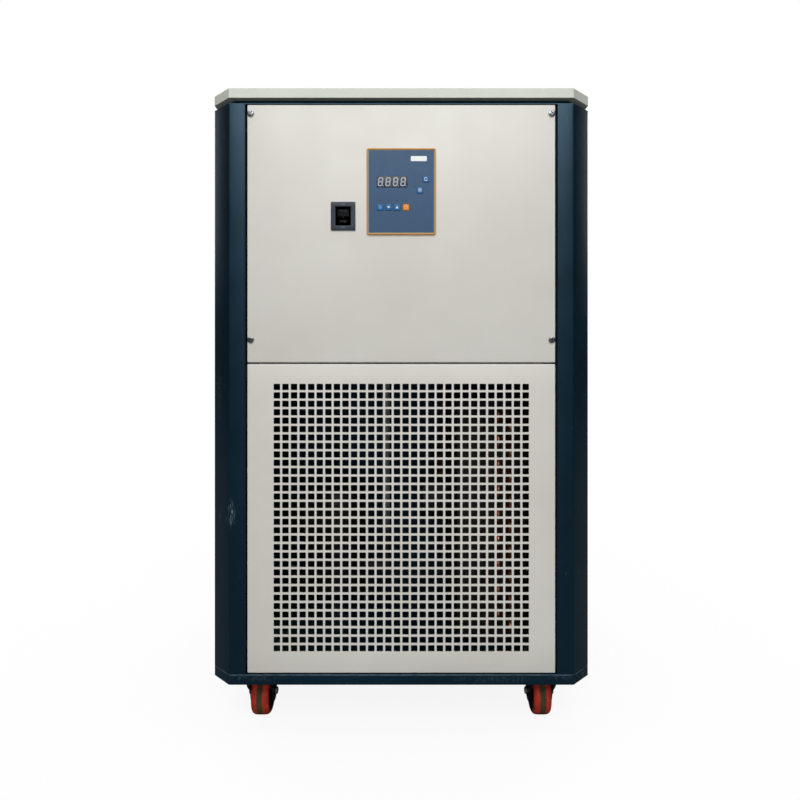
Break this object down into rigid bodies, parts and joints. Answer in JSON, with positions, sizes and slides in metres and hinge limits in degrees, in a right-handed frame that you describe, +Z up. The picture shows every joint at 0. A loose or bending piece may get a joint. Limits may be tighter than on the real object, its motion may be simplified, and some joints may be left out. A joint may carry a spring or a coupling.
{
  "type": "recirculating chiller",
  "caption": "Floor-standing recirculating chiller: chamfered sheet-steel cabinet on swivel casters with a square-hole grille, controller, mains switch and rear hose tails.",
  "frame": {"origin": "on the floor, under the middle of the whole object, hose tails included", "axes": "+Z up, the front panels face -Y, +X is to the right as seen from the front"},
  "size_m": [0.63, 0.5992, 1.079],
  "materials": {
    "cover_enamel": "satin powder coat, ivory",
    "panel_enamel": "satin powder coat, pale grey",
    "shell_enamel": "satin powder coat, dark blue",
    "galvanised_sheet": "zinc spangle",
    "bright_zinc": "bright zinc plate",
    "black_abs": "moulded",
    "bezel_amber": "semi-gloss amber",
    "overlay_blue": "printed polyester film, grey blue",
    "window_smoke": "smoked window",
    "key_blue": "moulded",
    "key_orange": "moulded",
    "stainless": "brushed stainless",
    "black_foam": "closed-cell foam",
    "grey_foam": "closed-cell foam tube",
    "compressor_black": "black enamel",
    "mount_rubber": "moulded",
    "copper": "drawn copper",
    "fin_aluminium": "mill finish",
    "fan_plastic": "moulded",
    "motor_grey": "grey enamel",
    "hose_grey": "braided hose",
    "valve_brass": "nickel-free brass",
    "lever_red": "dipped vinyl",
    "caster_black": "black zinc",
    "tread_red": "moulded polyurethane"
  },
  "bodies": {
    "cabinet": {"top_cover": "cover_enamel", "upper_front_panel": "panel_enamel", "lower_front_panel": "panel_enamel", "base_pan": "shell_enamel", "left_side_panel": "shell_enamel", "right_side_panel": "shell_enamel", "top_frame": "shell_enamel", "rear_panel": "shell_enamel", "mid_deck": "galvanised_sheet", "cross_rail": "galvanised_sheet", "condenser_end_plates": "galvanised_sheet", "panel_screws": "bright_zinc", "controller_case": "black_abs", "switch_housing": "black_abs", "cable_gland": "black_abs", "controller_bezel": "bezel_amber", "controller_overlay": "overlay_blue", "display_window": "window_smoke", "reservoir_tank": "stainless", "filler_neck": "stainless", "hose_ports": "stainless", "tank_jacket": "black_foam", "evaporator": "black_foam", "suction_pipe": "grey_foam", "compressor": "compressor_black", "compressor_mounts": "mount_rubber", "condenser_bends": "copper", "discharge_pipe": "copper", "liquid_pipe": "copper", "filter_drier": "copper", "condenser_fins": "fin_aluminium", "fan_shroud": "fan_plastic", "fan_motor": "motor_grey", "circulation_pump": "motor_grey", "electrical_box": "motor_grey", "pump_inlet_pipe": "hose_grey", "supply_pipe": "hose_grey", "return_pipe": "hose_grey", "drain_pipe": "hose_grey", "drain_valve": "valve_brass", "caster_heads": "caster_black"},
    "front_left_fork": {"front_left_fork": "caster_black"},
    "front_left_wheel": {"front_left_wheel": "tread_red"},
    "front_right_fork": {"front_right_fork": "caster_black"},
    "front_right_wheel": {"front_right_wheel": "tread_red"},
    "rear_left_fork": {"rear_left_fork": "caster_black"},
    "rear_left_wheel": {"rear_left_wheel": "tread_red"},
    "rear_right_fork": {"rear_right_fork": "caster_black"},
    "rear_right_wheel": {"rear_right_wheel": "tread_red"},
    "switch_rocker": {"switch_rocker": "black_abs"},
    "mode_key": {"mode_key": "key_blue"},
    "down_key": {"down_key": "key_blue"},
    "up_key": {"up_key": "key_blue"},
    "set_key": {"set_key": "key_orange"},
    "pump_key": {"pump_key": "key_blue"},
    "cooling_key": {"cooling_key": "key_blue"},
    "fan_blades": {"fan_blades": "fan_plastic"},
    "filler_cap": {"filler_cap": "black_abs"},
    "drain_lever": {"drain_lever": "lever_red"}
  },
  "joints": [
    {"name": "front_left_swivel", "type": "hinge", "parent": "cabinet", "child": "front_left_fork", "pos_m": [-0.241, -0.2514, 0.09], "axis": [0, 0, 1], "continuous": true},
    {"name": "front_left_roll", "type": "hinge", "parent": "front_left_fork", "child": "front_left_wheel", "pos_m": [-0.241, -0.2214, 0.0375], "axis": [1, 0, 0], "continuous": true},
    {"name": "front_right_swivel", "type": "hinge", "parent": "cabinet", "child": "front_right_fork", "pos_m": [0.241, -0.2514, 0.09], "axis": [0, 0, 1], "continuous": true},
    {"name": "front_right_roll", "type": "hinge", "parent": "front_right_fork", "child": "front_right_wheel", "pos_m": [0.241, -0.2214, 0.0375], "axis": [1, 0, 0], "continuous": true},
    {"name": "rear_left_swivel", "type": "hinge", "parent": "cabinet", "child": "rear_left_fork", "pos_m": [-0.241, 0.1786, 0.09], "axis": [0, 0, 1], "continuous": true},
    {"name": "rear_left_roll", "type": "hinge", "parent": "rear_left_fork", "child": "rear_left_wheel", "pos_m": [-0.241, 0.2086, 0.0375], "axis": [1, 0, 0], "continuous": true},
    {"name": "rear_right_swivel", "type": "hinge", "parent": "cabinet", "child": "rear_right_fork", "pos_m": [0.241, 0.1786, 0.09], "axis": [0, 0, 1], "continuous": true},
    {"name": "rear_right_roll", "type": "hinge", "parent": "rear_right_fork", "child": "rear_right_wheel", "pos_m": [0.241, 0.2086, 0.0375], "axis": [1, 0, 0], "continuous": true},
    {"name": "switch_rock", "type": "hinge", "parent": "cabinet", "child": "switch_rocker", "pos_m": [-0.095, -0.2929, 0.851], "axis": [1, 0, 0], "range_deg": [-16, 0]},
    {"name": "mode_key_press", "type": "slide", "parent": "cabinet", "child": "mode_key", "axis": [0, 1, 0], "range_m": [0, 0.0008], "stiffness_N_per_m": 600},
    {"name": "down_key_press", "type": "slide", "parent": "cabinet", "child": "down_key", "axis": [0, 1, 0], "range_m": [0, 0.0008], "stiffness_N_per_m": 600},
    {"name": "up_key_press", "type": "slide", "parent": "cabinet", "child": "up_key", "axis": [0, 1, 0], "range_m": [0, 0.0008], "stiffness_N_per_m": 600},
    {"name": "set_key_press", "type": "slide", "parent": "cabinet", "child": "set_key", "axis": [0, 1, 0], "range_m": [0, 0.0008], "stiffness_N_per_m": 600},
    {"name": "pump_key_press", "type": "slide", "parent": "cabinet", "child": "pump_key", "axis": [0, 1, 0], "range_m": [0, 0.0008], "stiffness_N_per_m": 600},
    {"name": "cooling_key_press", "type": "slide", "parent": "cabinet", "child": "cooling_key", "axis": [0, 1, 0], "range_m": [0, 0.0008], "stiffness_N_per_m": 600},
    {"name": "fan_spin", "type": "hinge", "parent": "cabinet", "child": "fan_blades", "pos_m": [0.119, -0.0004, 0.33], "axis": [1, 0, 0], "continuous": true},
    {"name": "filler_cap_lift", "type": "slide", "parent": "cabinet", "child": "filler_cap", "axis": [0, 0, 1], "range_m": [0, 0.06]},
    {"name": "drain_lever_turn", "type": "hinge", "parent": "cabinet", "child": "drain_lever", "pos_m": [0.01, 0.2726, 0.667], "axis": [0, 0, 1], "range_deg": [0, 90]}
  ]
}
